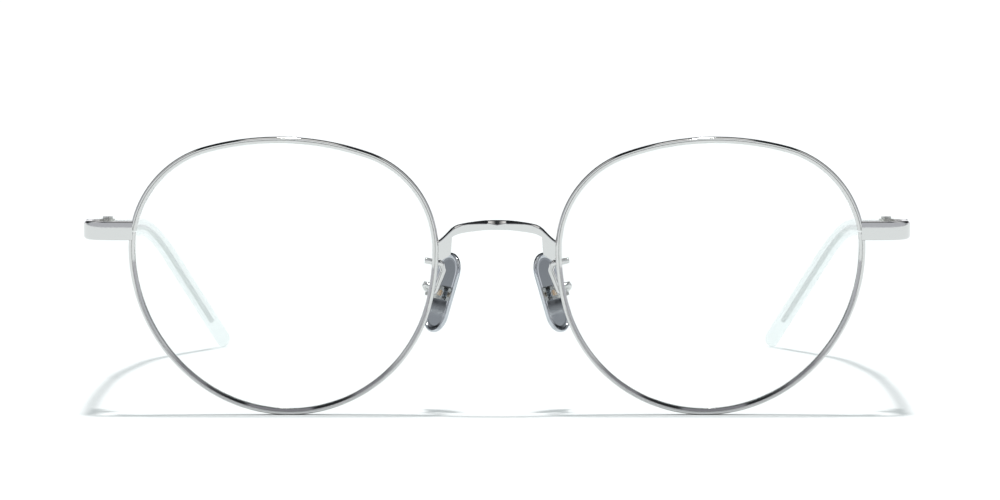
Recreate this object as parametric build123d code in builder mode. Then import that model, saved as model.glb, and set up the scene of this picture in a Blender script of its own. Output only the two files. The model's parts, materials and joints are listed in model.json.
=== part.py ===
from build123d import *
import math
import os

# Round wire eyeglasses: two split metal rims with lenses, a forged bridge, end pieces with
# closing blocks and barrel hinges, rocking nose pads on wire arms, and bowed metal temples
# whose bent wire cores run into clear acetate tips.
# Millimetres, +Z up. The front faces -Y and +X is the wearer's left. The origin is on the
# surface that the glasses rest on, under the middle of their length and width.
# Every piece is built for the wearer's left side, and the right side is its mirror image.

# ---- Whole frame ----
overall_depth = 132.2          # from the foremost point of the bridge to the back of the tips
bridge_bow = 1.3               # how far the bridge stands forward of the rims' front faces
front_y = bridge_bow - overall_depth / 2       # the plane of the rims' front faces

# ---- Rim outline, measured outside ----
rim_span = 51.6                # width of a rim
rim_height = 46.4
rim_centre_x = 35.5            # from the middle of the bridge to the middle of a rim
rim_centre_z = rim_height / 2
apex_shift = 0.9               # the top lies this far to the temple, the bottom to the nose
temple_side_rise = 4.75        # height of the widest points above the rim's middle
nose_side_rise = 4.5
top_radius = 46.3
bottom_temple_radius = 25.4
bottom_nose_radius = 24.5

# ---- Rim wire and lens ----
rim_wall = 1.05                # rim wire, seen from the front
rim_depth = 1.9                # rim wire, front to back
rim_edge_radius = 0.25
groove_depth = 0.5
groove_half_width = 0.55
lens_gap = 0.03
lens_thickness = 1.5
lens_curve = 265.0             # radius of the lens's front surface, a 2-base curve
lens_rebate = 0.5              # width of the flat edge band behind the bevel
kerf = 0.3                     # the cut that lets the rim open

# ---- Bridge ----
# Its half outline as (X, Z), from the middle of the top edge round to the middle underneath.
bridge_crest = (0, 32.6)
bridge_crest_quarter = (3.3, 32.42)
bridge_crest_end = (6.4, 31.9)
bridge_shoulder = (7.9, 31.1)
bridge_rim_top = (10.5, 28.2)
bridge_rim_bottom = (10.5, 27.0)
bridge_inner_corner = (7.4, 29.95)
bridge_underside_end = (5.6, 30.5)
bridge_underside_quarter = (2.9, 30.88)
bridge_underside = (0, 31.0)
bridge_shoulder_radius = 1.0
bridge_thickness = 1.5
bridge_bevel = 0.3
bridge_overlap = 0.9           # the bar reaches this far behind the rims' outer faces
bridge_end_setback = 0.1       # its front at both ends, behind the rims' front faces
foot_corners = ((7.45, 30.0), (7.7, 26.7), (9.3, 25.7), (10.8, 25.7), (10.8, 28.5))
foot_setback = 0.5             # the feet's front, behind the rims' front faces
foot_thickness = 0.9

# ---- End piece and hinge ----
end_low_z = 29.2
end_height = 3.1
end_start_x = 60.5
end_outer_x = 69.05
end_wall = 1.4
end_proud = 0.35               # the end piece stands this far in front of the rim
end_sweep = 0.3                # its outer corner lies this far behind the rims' front faces
end_corner_radius = 4.2
end_edge_radius = 0.3
hinge_x = 65.4
hinge_depth = 8.0              # hinge axis behind the rims' front faces
butt_gap = 0.2                 # between the end piece and the open temple
barrel_radius = 1.25
barrel_relief = 0.15
leaf_thickness = 1.2
leaf_length = 4.4
leaf_bedding = 0.6             # the plates reach this far past the end piece's inner face
leaf_trim = 0.3                # the temple's leaf is this much lower at top and bottom
knuckle_clearance = 0.2        # cleared above and below the other leaf's knuckles
web_overlap = 0.2              # the knuckles' webs run this far into the plates
washer_trim = 0.1              # the washers are this much smaller than the barrels
knuckle_height = 0.85          # each of the two outer knuckles
washer_thickness = 0.15
washer_play = 0.05
hinge_pin_radius = 0.6
running_gap = 0.04
hinge_head_radius = 0.85
hinge_head_height = 0.4
slot_width = 0.25
slot_depth = 0.2

# ---- Closing block ----
block_outer_x = 63.7
block_start = 1.05             # behind the rims' front faces
block_depth = 2.2
lock_pin_radius = 0.45
lock_head_radius = 0.8
lock_head_height = 0.4
lock_cover = 0.5               # solid metal over the screw's blind end

# ---- Nose pad, its box and its arm ----
pad_centre = (9.2, 8.0, 19.9)  # second value is the depth behind the rims' front faces
pad_splay = 33.0               # pad plane against front-to-back
pad_lean = 16.0                # tops closer together than bottoms
pad_length = 13.8
pad_width = 6.8
pad_thickness = 0.8
pad_lip = 0.6
pad_recess = 0.25
pad_crown = 0.4
pad_pivot_height = 1.25        # screw axis above the pad's middle plane
lug_width = 0.9
lug_radius = 0.65
box_wall = 0.5
box_length = 2.2
box_top = 1.35                 # outside of the box's roof above the screw axis
pad_side_gap = 0.1
pad_pin_radius = 0.3
pad_head_radius = 0.5
pad_head_height = 0.3
arm_radius = 0.5
arm_bend_radius = 0.7
arm_sink = 0.1                 # the wire is brazed this deep into the rim's back
# Corners of the wire after its two on the rim: X, depth behind the rims' fronts, and Z.
arm_rim_corners = ((12.0, 25.7), (9.3, 25.2))
arm_corners = ((8.95, 3.6, 24.0), (10.4, 4.4, 20.3), (12.05, 4.9, 19.9), (12.1, 5.9, 24.0))

# ---- Temple and its tip ----
bar_outer_x = 69.05            # outer face of the bar at the hinge
bar_thickness = 1.2
bar_front_height = 3.1
bar_end_height = 1.5
bar_end_depth = 68.0
bow_depth = 55.0               # where the temple stands widest
bow_out = 1.45                 # how much wider than at the hinge
slope = math.radians(3.3)      # temples fall towards the ear
core_radius = 0.5
core_share = 0.86              # the wire core stops this far down the ear piece
bow_blend_radius = 160.0
bow_toe = 0.1                  # how far the temple comes back in over the blend's first run
bow_toe_run = 19.0
bend_x = 66.1                  # where the temple's straight run meets the ear piece
bend_depth = 104.5
bend_radius = 25.0
tip_start_depth = 66.0
tip_front_width = 2.3
tip_front_height = 3.0
tip_end_width = 2.4
tip_end_height = 3.4
tip_end_radius = 1.6           # length of the rounded end
tip_dome_angles = (0, 25, 45, 62, 76, 86)
tip_end_x = 54.3
tip_end_depth = 129.33
tip_end_z = 1.65
tip_steps = 12

hinge_y = front_y + hinge_depth
end_top_z = end_low_z + end_height
end_middle_z = end_low_z + end_height / 2
cut_reach = 20.0               # long enough for any tool body to pass right through


def behind(depth):
    """The plane parallel to the front, a depth behind the rims' front faces, facing forward."""
    return Plane(origin=(0, front_y + depth, 0), x_dir=(1, 0, 0), z_dir=(0, -1, 0))


def rim_plane(depth):
    """As behind, with its origin at the middle of the left rim."""
    return Plane(
        origin=(rim_centre_x, front_y + depth, rim_centre_z),
        x_dir=(1, 0, 0),
        z_dir=(0, -1, 0),
    )


def level(z):
    """The horizontal plane at a height."""
    return Plane.XY.offset(z)


def quarter_arcs(apex, side, apex_radius, growth):
    """Two tangent arcs from a top or bottom point to a widest point, grown outwards."""
    across = side[0] - apex[0]
    rise = apex[1] - side[1]
    dx = abs(across)
    dy = abs(rise)
    side_radius = (2 * apex_radius * dy - dy**2 - dx**2) / (2 * (apex_radius - dx))
    apex_centre = Vector(apex[0], apex[1] - math.copysign(apex_radius, rise))
    side_centre = Vector(side[0] - math.copysign(side_radius, across), side[1])
    meeting = (side_centre - apex_centre) * math.copysign(1, apex_radius - side_radius)
    apex_angle = math.copysign(90, rise)
    side_angle = 0 if across > 0 else 180
    meeting_angle = math.degrees(math.atan2(meeting.Y, meeting.X))
    first_turn = (meeting_angle - apex_angle + 180) % 360 - 180
    second_turn = (side_angle - meeting_angle + 180) % 360 - 180
    CenterArc(apex_centre, apex_radius + growth, apex_angle, first_turn)
    CenterArc(side_centre, side_radius + growth, meeting_angle, second_turn)


def rim_face(growth, depth):
    """The face inside the left rim's outer outline, offset outwards by growth, at a depth."""
    top = (apex_shift, rim_height / 2)
    bottom = (-apex_shift, -rim_height / 2)
    temple_side = (rim_span / 2, temple_side_rise)
    nose_side = (-rim_span / 2, nose_side_rise)
    with BuildSketch(rim_plane(depth)) as face:
        with BuildLine():
            quarter_arcs(top, temple_side, top_radius, growth)
            quarter_arcs(top, nose_side, top_radius, growth)
            quarter_arcs(bottom, temple_side, bottom_temple_radius, growth)
            quarter_arcs(bottom, nose_side, bottom_nose_radius, growth)
        make_face()
    return face.sketch


def bevelled_disc(crest, run, depth):
    """A disc with a 45-degree double bevel whose crest is at a growth and a depth."""
    with BuildPart() as disc:
        loft([rim_face(crest - abs(step), depth + step) for step in (-run, 0, run)], ruled=True)
    return disc.part


# ---- Rim ----
groove_centre = rim_depth / 2

with BuildPart() as rim_disc:
    extrude(rim_face(0, rim_depth), amount=rim_depth)

with BuildPart() as rim:
    add(rim_disc.part)
    extrude(rim_face(-rim_wall, rim_depth), amount=rim_depth, mode=Mode.SUBTRACT)
    front_and_back = rim.faces().sort_by(Axis.Y)
    fillet(front_and_back[0].edges() + front_and_back[-1].edges(), rim_edge_radius)
    groove = bevelled_disc(groove_depth - rim_wall, groove_half_width, groove_centre)
    add(groove, mode=Mode.SUBTRACT)
    with Locations((end_start_x, front_y + rim_depth / 2, end_middle_z)):
        Box(4, rim_depth + 1, kerf, mode=Mode.SUBTRACT)

# ---- Lens: a shallow meniscus with a bevel that sits in the rim's groove ----
lens_edge_sag = (rim_height / 2) ** 2 / (2 * lens_curve)
lens_front_depth = groove_centre - lens_thickness / 2 - lens_edge_sag
lens_curve_centre = (rim_centre_x, front_y + lens_front_depth + lens_curve, rim_centre_z)
lens_bevel_growth = groove_depth - rim_wall - lens_gap

with BuildPart() as lens_shell:
    extrude(rim_face(-rim_wall - lens_gap, cut_reach), amount=2 * cut_reach)
    with Locations(lens_curve_centre):
        Sphere(lens_curve, mode=Mode.INTERSECT)
        Sphere(lens_curve - lens_thickness, mode=Mode.SUBTRACT)

with BuildPart() as lens:
    add(bevelled_disc(lens_bevel_growth, groove_depth, groove_centre))
    extrude(rim_face(-rim_wall - lens_rebate, rim_depth), amount=rim_depth, mode=Mode.SUBTRACT)
    add(lens_shell.part)

# ---- Bridge: an arched bar, bowed forward, forged with a flat foot at each rim ----
bridge_reach = rim_centre_x - rim_span / 2 + bridge_overlap
bridge_end_y = front_y + bridge_end_setback

with BuildPart() as bridge_band:
    with BuildSketch(level(0)):
        with BuildLine():
            front_arc = ThreePointArc(
                (-bridge_reach, bridge_end_y),
                (0, front_y - bridge_bow),
                (bridge_reach, bridge_end_y),
            )
            back_arc = ThreePointArc(
                (-bridge_reach, bridge_end_y + bridge_thickness),
                (0, front_y - bridge_bow + bridge_thickness),
                (bridge_reach, bridge_end_y + bridge_thickness),
            )
            Line(front_arc @ 0, back_arc @ 0)
            Line(front_arc @ 1, back_arc @ 1)
        make_face()
    extrude(amount=2 * cut_reach)

with BuildPart() as bridge:
    with BuildSketch(behind(cut_reach)) as arch:
        with BuildLine():
            ThreePointArc(bridge_crest, bridge_crest_quarter, bridge_crest_end)
            Polyline(
                bridge_crest_end,
                bridge_shoulder,
                bridge_rim_top,
                bridge_rim_bottom,
                bridge_inner_corner,
                bridge_underside_end,
            )
            ThreePointArc(bridge_underside_end, bridge_underside_quarter, bridge_underside)
            Line(bridge_underside, bridge_crest)
        make_face()
        shoulder_corners = arch.vertices().filter_by_position(
            Axis.X, bridge_inner_corner[0], bridge_shoulder[0]
        )
        fillet(shoulder_corners, bridge_shoulder_radius)
        mirror(about=Plane.YZ)
    extrude(amount=2 * cut_reach)
    add(bridge_band.part, mode=Mode.INTERSECT)
    top_front = bridge.faces().sort_by(Axis.Y)[0].edges()
    chamfer(top_front, bridge_bevel)
    with BuildSketch(behind(foot_setback + foot_thickness)):
        with BuildLine():
            Polyline(*foot_corners, close=True)
        make_face()
        mirror(about=Plane.YZ)
    extrude(amount=foot_thickness)
    add(rim_disc.part, mode=Mode.SUBTRACT)
    mirror(rim_disc.part, about=Plane.YZ, mode=Mode.SUBTRACT)


def lies_over(edge, line):
    """Whether a level edge runs straight above or along a line drawn at height zero."""
    middle = edge @ 0.5
    return line.distance_to((middle.X, middle.Y, 0)) < 0.01


# ---- End piece: brazed over the rim's upper temple side, bent back to the hinge ----
with BuildPart() as end_piece:
    with BuildSketch(level(end_low_z)):
        with BuildLine():
            outer = FilletPolyline(
                (end_start_x, front_y - end_proud),
                (end_outer_x, front_y + end_sweep),
                (end_outer_x, hinge_y - butt_gap / 2),
                radius=end_corner_radius,
            )
            inner = FilletPolyline(
                (end_start_x, front_y - end_proud + end_wall),
                (end_outer_x - end_wall, front_y + end_sweep + end_wall),
                (end_outer_x - end_wall, hinge_y - butt_gap / 2),
                radius=end_corner_radius - end_wall,
            )
            Line(outer @ 0, inner @ 0)
            Line(outer @ 1, inner @ 1)
        make_face()
    extrude(amount=end_height)
    level_edges = end_piece.faces().filter_by(Axis.Z).edges()
    outer_edges = level_edges.filter_by(lambda edge: lies_over(edge, outer))
    fillet(outer_edges, end_edge_radius)
    add(rim_disc.part, mode=Mode.SUBTRACT)

# ---- Temple: a tapered bar, bowed outwards, drawn down to the wire core of the tip ----
bar_middle_x = bar_outer_x - bar_thickness / 2
bow_run = bow_depth - hinge_depth


def temple_height(depth):
    """Height of the temple's middle line at a depth behind the rims' front faces."""
    return end_middle_z - (depth - hinge_depth) * math.tan(slope)


def temple_point(x, depth):
    """A point of the temple's middle line along its bar."""
    return (x, front_y + depth, temple_height(depth))


def ear_line(length_share):
    """The tip's middle line: along the bar, round the bend and down a share of the ear piece."""
    widest_x = bar_middle_x + bow_out
    corner = Vector(temple_point(bend_x, bend_depth))
    end = Vector(tip_end_x, front_y + tip_end_depth, tip_end_z)
    with BuildLine() as line:
        FilletPolyline(
            temple_point(widest_x, bow_depth),
            temple_point(widest_x - bow_toe, bow_depth + bow_toe_run),
            corner,
            corner + (end - corner) * length_share,
            radius=[bow_blend_radius, bend_radius],
        )
    return line.wire()


def tip_section(line, share):
    """The tip's oval section at a share of its middle line, upright across the line."""
    along = (share - tip_start_share) / (1 - tip_start_share)
    heading = line % share
    section_plane = Plane(origin=line @ share, x_dir=heading.cross(Vector(0, 0, 1)), z_dir=heading)
    width = tip_front_width + along * (tip_end_width - tip_front_width)
    height = tip_front_height + along * (tip_end_height - tip_front_height)
    with BuildSketch(section_plane) as section:
        Ellipse(width / 2, height / 2)
    return section.sketch


def tip_dome_section(line, angle):
    """An oval of the tip's rounded end, at an angle from the end of its middle line."""
    heading = line % 1
    centre = line @ 1 + heading * tip_end_radius * math.sin(math.radians(angle))
    section_plane = Plane(origin=centre, x_dir=heading.cross(Vector(0, 0, 1)), z_dir=heading)
    shrink = math.cos(math.radians(angle))
    with BuildSketch(section_plane) as section:
        Ellipse(tip_end_width / 2 * shrink, tip_end_height / 2 * shrink)
    return section.sketch


core_line = ear_line(core_share)
tip_line = ear_line(1)
tip_start_share = (tip_start_depth - bow_depth) / tip_line.length
bow_radius = (bow_run**2 + bow_out**2) / (2 * bow_out)
bow_centre_x = bar_middle_x + bow_out - bow_radius
bar_end_y = front_y + bar_end_depth
bar_start_y = hinge_y + butt_gap / 2

with BuildPart() as temple_band:
    with BuildSketch(level(0)):
        with Locations((bow_centre_x, front_y + bow_depth)):
            Circle(bow_radius + bar_thickness / 2)
            Circle(bow_radius - bar_thickness / 2, mode=Mode.SUBTRACT)
    extrude(amount=2 * cut_reach)

with BuildPart() as temple:
    with BuildSketch(Plane.YZ):
        with BuildLine():
            start_z = temple_height(hinge_depth)
            end_z = temple_height(bar_end_depth)
            Polyline(
                (bar_start_y, start_z + bar_front_height / 2),
                (bar_end_y, end_z + bar_end_height / 2),
                (bar_end_y, end_z - bar_end_height / 2),
                (bar_start_y, start_z - bar_front_height / 2),
                close=True,
            )
        make_face()
    extrude(amount=2 * bar_outer_x)
    add(temple_band.part, mode=Mode.INTERSECT)
    with BuildSketch(Plane(origin=core_line @ 0, z_dir=core_line % 0)):
        Circle(core_radius)
    sweep(path=core_line)

with BuildPart() as temple_tip:
    shares = [
        tip_start_share + (1 - tip_start_share) * step / tip_steps for step in range(tip_steps + 1)
    ]
    loft([tip_section(tip_line, share) for share in shares])
    loft([tip_dome_section(tip_line, angle) for angle in tip_dome_angles], ruled=True)
    add(temple.part, mode=Mode.SUBTRACT)

# ---- Closing blocks behind the end piece, on both sides of the rim's kerf ----
block_middle_y = front_y + block_start + block_depth / 2
lock_x = (rim_centre_x + rim_span / 2 + block_outer_x) / 2


def closing_block(low_z, high_z):
    """A block from the rim's outer face to the side, with its bottom and top heights."""
    start_x = end_start_x - rim_wall
    with BuildPart() as block:
        with Locations(((start_x + block_outer_x) / 2, block_middle_y, (low_z + high_z) / 2)):
            Box(block_outer_x - start_x, block_depth, high_z - low_z)
        extrude(rim_face(0, cut_reach), amount=2 * cut_reach, mode=Mode.SUBTRACT)
        add(end_piece.part, mode=Mode.SUBTRACT)
    return block.part


def slotted_screw(plane, pin_radius, pin_length, head_radius, head_height):
    """A cheese-head screw: its head stands on the plane and its shank hangs from it."""
    with BuildPart() as screw:
        with BuildSketch(plane):
            Circle(pin_radius)
        extrude(amount=-pin_length)
        with BuildSketch(plane):
            Circle(head_radius)
        extrude(amount=head_height)
        with BuildSketch(plane.offset(head_height)):
            Rectangle(3 * head_radius, slot_width)
        extrude(amount=-slot_depth, mode=Mode.SUBTRACT)
    return screw.part


with BuildPart() as rim_lock_upper:
    add(closing_block(end_middle_z + kerf / 2, end_top_z))
    with Locations((lock_x, block_middle_y, end_low_z)):
        Cylinder(lock_pin_radius, 2 * (end_height - lock_cover), mode=Mode.SUBTRACT)

with BuildPart() as rim_lock_lower:
    add(closing_block(end_low_z, end_middle_z - kerf / 2))
    with Locations((lock_x, block_middle_y, end_low_z)):
        Cylinder(lock_pin_radius + running_gap, 2 * end_height, mode=Mode.SUBTRACT)
        Cylinder(lock_head_radius + running_gap, 2 * lock_head_height, mode=Mode.SUBTRACT)

lock_head_seat = Plane(
    origin=(lock_x, block_middle_y, end_low_z + lock_head_height),
    x_dir=(1, 0, 0),
    z_dir=(0, 0, -1),
)

with BuildPart() as rim_lock_screw:
    add(
        slotted_screw(
            lock_head_seat,
            lock_pin_radius,
            end_height - lock_cover - lock_head_height,
            lock_head_radius,
            lock_head_height,
        )
    )

# ---- Hinge: two knuckles on the front leaf, one on the temple's leaf, on a screw pin ----
middle_low_z = end_low_z + knuckle_height + washer_thickness + washer_play
middle_high_z = end_top_z - knuckle_height - washer_thickness - washer_play
leaf_inner_x = end_outer_x - end_wall - leaf_thickness
leaf_width = leaf_thickness + leaf_bedding
knuckle_levels = (
    (end_low_z, knuckle_height),
    (end_top_z - knuckle_height, knuckle_height),
)


def knuckle(low_z, height, web_side):
    """A barrel on the hinge axis with a web that ties it to a leaf in front or behind."""
    web_end_x = leaf_inner_x + web_overlap
    web_length = barrel_radius - butt_gap / 2
    web_y = hinge_y + web_side * (barrel_radius + butt_gap / 2) / 2
    with Locations((hinge_x, hinge_y, low_z + height / 2)):
        Cylinder(barrel_radius, height)
    with Locations(((hinge_x + web_end_x) / 2, web_y, low_z + height / 2)):
        Box(web_end_x - hinge_x, web_length, height)


def pin_bore(radius):
    """Bore the hinge pin's hole through everything on the axis."""
    with Locations((hinge_x, hinge_y, end_middle_z)):
        Cylinder(radius, end_height + 1, mode=Mode.SUBTRACT)


def relief(low_z, height):
    """Clear a leaf away from a knuckle of the other leaf."""
    with Locations((hinge_x, hinge_y, low_z + height / 2)):
        Cylinder(barrel_radius + barrel_relief, height, mode=Mode.SUBTRACT)


def leaf_plate(side, low_z, height):
    """The flat of a leaf against the end piece (side -1) or the temple bar (side +1)."""
    plate_y = hinge_y + side * (butt_gap / 2 + leaf_length / 2)
    with Locations((leaf_inner_x + leaf_width / 2, plate_y, low_z + height / 2)):
        Box(leaf_width, leaf_length, height)


with BuildPart() as front_hinge_leaf:
    leaf_plate(-1, end_low_z, end_height)
    add(end_piece.part, mode=Mode.SUBTRACT)
    relief(end_low_z + knuckle_height, end_height - 2 * knuckle_height)
    for low_z, height in knuckle_levels:
        knuckle(low_z, height, -1)
    pin_bore(hinge_pin_radius)

with BuildPart() as temple_hinge_leaf:
    leaf_plate(1, end_low_z + leaf_trim, end_height - 2 * leaf_trim)
    add(temple.part, mode=Mode.SUBTRACT)
    for low_z, height in knuckle_levels:
        relief(low_z - knuckle_clearance, height + 2 * knuckle_clearance)
    knuckle(middle_low_z, middle_high_z - middle_low_z, 1)
    pin_bore(hinge_pin_radius + running_gap)

with BuildPart() as hinge_washers:
    for low_z in (middle_low_z - washer_thickness, middle_high_z):
        with Locations((hinge_x, hinge_y, low_z + washer_thickness / 2)):
            Cylinder(barrel_radius - washer_trim, washer_thickness)
            Cylinder(hinge_pin_radius + running_gap, washer_thickness, mode=Mode.SUBTRACT)

with BuildPart() as hinge_screw:
    add(
        slotted_screw(
            Plane(origin=(hinge_x, hinge_y, end_top_z)),
            hinge_pin_radius,
            end_height,
            hinge_head_radius,
            hinge_head_height,
        )
    )

# ---- Nose pad: a dished metal plate with a lug that rocks on a cross screw ----
splay = math.radians(pad_splay)
lean = math.radians(pad_lean)
pad_outward = Vector(
    math.cos(splay) * math.cos(lean), -math.sin(splay), math.cos(splay) * math.sin(lean)
)
pad_up = Vector(-math.sin(lean), 0, math.cos(lean))
pad_forward = pad_outward.cross(pad_up)
pad_point = Vector(pad_centre[0], front_y + pad_centre[1], pad_centre[2])
pad_plane = Plane(origin=pad_point, x_dir=pad_forward, z_dir=pad_outward)
pad_face = pad_plane.offset(pad_thickness / 2 - pad_recess)
pivot_point = pad_point + pad_outward * pad_pivot_height
pivot_plane = Plane(origin=pivot_point, x_dir=pad_up * -1, z_dir=pad_forward)
box_width = lug_width + 2 * (pad_side_gap + box_wall)

with BuildPart() as nose_pad:
    with BuildSketch(pad_plane.offset(-pad_thickness / 2)):
        SlotOverall(pad_length, pad_width, rotation=90)
    extrude(amount=pad_thickness)
    fillet(nose_pad.faces().filter_by(pad_plane).sort_by(Axis.X)[0].edges(), pad_crown)
    with BuildSketch(pad_face):
        SlotOverall(pad_length - 2 * pad_lip, pad_width - 2 * pad_lip, rotation=90)
    extrude(amount=pad_recess, mode=Mode.SUBTRACT)
    with BuildSketch(pivot_plane.offset(-lug_width / 2)):
        Circle(lug_radius)
        with Locations((0, -pad_pivot_height / 2)):
            Rectangle(2 * lug_radius, pad_pivot_height)
    extrude(amount=lug_width)
    with BuildSketch(pivot_plane.offset(-lug_width)):
        Circle(pad_pin_radius + running_gap)
    extrude(amount=2 * lug_width, mode=Mode.SUBTRACT)

with BuildPart() as box_block:
    with BuildSketch(pivot_plane.offset(-box_width / 2)):
        with Locations((0, (box_top - lug_radius) / 2)):
            Rectangle(box_length, box_top + lug_radius)
    extrude(amount=box_width)

with BuildPart() as pad_box:
    add(box_block.part)
    with BuildSketch(pivot_plane.offset(-lug_width / 2 - pad_side_gap)):
        with Locations((0, box_top - box_wall - box_length / 2)):
            Rectangle(box_length, box_length)
    extrude(amount=lug_width + 2 * pad_side_gap, mode=Mode.SUBTRACT)
    with BuildSketch(pivot_plane.offset(-box_width)):
        Circle(pad_pin_radius)
    extrude(amount=2 * box_width, mode=Mode.SUBTRACT)

with BuildPart() as pad_screw:
    add(
        slotted_screw(
            pivot_plane.offset(box_width / 2),
            pad_pin_radius,
            box_width,
            pad_head_radius,
            pad_head_height,
        )
    )

# ---- Pad arm: a wire brazed across the rim's back, looped outwards to the pad's box ----
box_roof = pivot_point + pad_outward * box_top
arm_rim_y = front_y + rim_depth + arm_radius - arm_sink

with BuildPart() as pad_arm:
    with BuildLine() as arm_path:
        FilletPolyline(
            *[(x, arm_rim_y, z) for x, z in arm_rim_corners],
            *[(x, front_y + depth, z) for x, depth, z in arm_corners],
            box_roof - pad_outward * box_wall / 2,
            radius=arm_bend_radius,
        )
    with BuildSketch(Plane(origin=arm_path.line @ 0, z_dir=arm_path.line % 0)):
        Circle(arm_radius)
    sweep(path=arm_path.line)
    add(rim_disc.part, mode=Mode.SUBTRACT)
    add(box_block.part, mode=Mode.SUBTRACT)

# ---- Labels and files ----
left_pieces = {
    "rim": rim,
    "lens": lens,
    "end_piece": end_piece,
    "rim_lock_upper": rim_lock_upper,
    "rim_lock_lower": rim_lock_lower,
    "rim_lock_screw": rim_lock_screw,
    "front_hinge_leaf": front_hinge_leaf,
    "temple_hinge_leaf": temple_hinge_leaf,
    "hinge_washers": hinge_washers,
    "hinge_screw": hinge_screw,
    "pad_arm": pad_arm,
    "pad_box": pad_box,
    "pad_screw": pad_screw,
    "nose_pad": nose_pad,
    "temple": temple,
    "temple_tip": temple_tip,
}

os.makedirs("parts", exist_ok=True)
bridge.part.label = "bridge"
export_step(bridge.part, "parts/bridge.step")

for name, piece in left_pieces.items():
    with BuildPart() as opposite:
        mirror(piece.part, about=Plane.YZ)
    piece.part.label = name + "_left"
    opposite.part.label = name + "_right"
    export_step(piece.part, "parts/" + name + "_left.step")
    export_step(opposite.part, "parts/" + name + "_right.step")
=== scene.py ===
"""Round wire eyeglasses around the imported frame: polished metal, clear lenses and acetate tips."""
import json
import math

import bmesh
import bpy
from mathutils import Matrix, Vector


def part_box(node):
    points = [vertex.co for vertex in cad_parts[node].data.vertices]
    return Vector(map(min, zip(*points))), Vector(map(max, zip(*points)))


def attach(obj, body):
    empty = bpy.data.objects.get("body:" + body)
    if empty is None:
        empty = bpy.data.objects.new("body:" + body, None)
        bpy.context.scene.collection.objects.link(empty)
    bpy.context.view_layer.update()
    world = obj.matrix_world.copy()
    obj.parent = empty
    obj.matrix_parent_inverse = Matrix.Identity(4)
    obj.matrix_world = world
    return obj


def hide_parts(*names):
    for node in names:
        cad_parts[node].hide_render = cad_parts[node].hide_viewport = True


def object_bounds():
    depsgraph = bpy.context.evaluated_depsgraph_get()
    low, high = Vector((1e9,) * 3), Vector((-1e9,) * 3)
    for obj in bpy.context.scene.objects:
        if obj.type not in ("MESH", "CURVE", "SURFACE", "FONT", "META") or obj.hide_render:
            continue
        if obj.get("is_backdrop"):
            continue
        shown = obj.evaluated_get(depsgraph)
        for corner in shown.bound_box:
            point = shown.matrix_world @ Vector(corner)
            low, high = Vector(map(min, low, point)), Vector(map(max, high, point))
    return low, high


bl_info = {
    "name": "Round Wire Eyeglasses",
    "version": (1, 0, 0),
    "blender": (4, 5, 0),
    "location": "3D View > Sidebar > Eyeglasses",
    "description": "Builds round wire eyeglasses piece by piece, with a floor, light and camera",
    "category": "Object",
}

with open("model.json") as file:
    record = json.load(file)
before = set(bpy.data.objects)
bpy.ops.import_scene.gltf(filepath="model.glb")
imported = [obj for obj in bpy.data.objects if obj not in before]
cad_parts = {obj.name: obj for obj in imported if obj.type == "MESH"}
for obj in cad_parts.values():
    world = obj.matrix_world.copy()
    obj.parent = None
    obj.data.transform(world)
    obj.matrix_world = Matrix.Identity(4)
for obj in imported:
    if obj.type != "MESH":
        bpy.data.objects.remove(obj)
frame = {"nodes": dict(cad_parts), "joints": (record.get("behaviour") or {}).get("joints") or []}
cad_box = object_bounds()

MM = 0.001
SIDES = (("left", 1), ("right", -1))

rim_low, rim_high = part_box("rim_left")
lens_low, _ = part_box("lens_left")
end_low, end_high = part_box("end_piece_left")
bridge_low, bridge_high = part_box("bridge")
FRONT_Y = rim_low.y
RIM_CENTRE = Vector(((rim_low.x + rim_high.x) / 2, FRONT_Y, (rim_low.z + rim_high.z) / 2))


def joint_named(name):
    """The record's joint of that name."""
    return next(joint for joint in frame["joints"] if joint["name"] == name)


HINGE = Vector(joint_named("left_temple_fold")["pos_m"])
PAD_PIVOT = Vector(joint_named("left_pad_rock")["pos_m"])
PAD_AXIS = Vector(joint_named("left_pad_rock")["axis"])


def linear(hex_colour):
    """An sRGB hex colour as linear red, green and blue."""
    channels = [int(hex_colour[place:place + 2], 16) / 255 for place in (1, 3, 5)]
    return [c / 12.92 if c <= 0.04045 else ((c + 0.055) / 1.055) ** 2.4 for c in channels]


def size(name, description, millimetres):
    """A length that a user may change, given in millimetres."""
    return bpy.props.FloatProperty(
        name=name,
        description=description,
        default=millimetres * MM,
        unit="LENGTH",
        subtype="DISTANCE",
    )


def colour(name, description, hex_colour):
    """A colour that a user may change, given as sRGB hex."""
    return bpy.props.FloatVectorProperty(
        name=name,
        description=description,
        default=linear(hex_colour),
        min=0,
        max=1,
        subtype="COLOR",
    )


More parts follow.
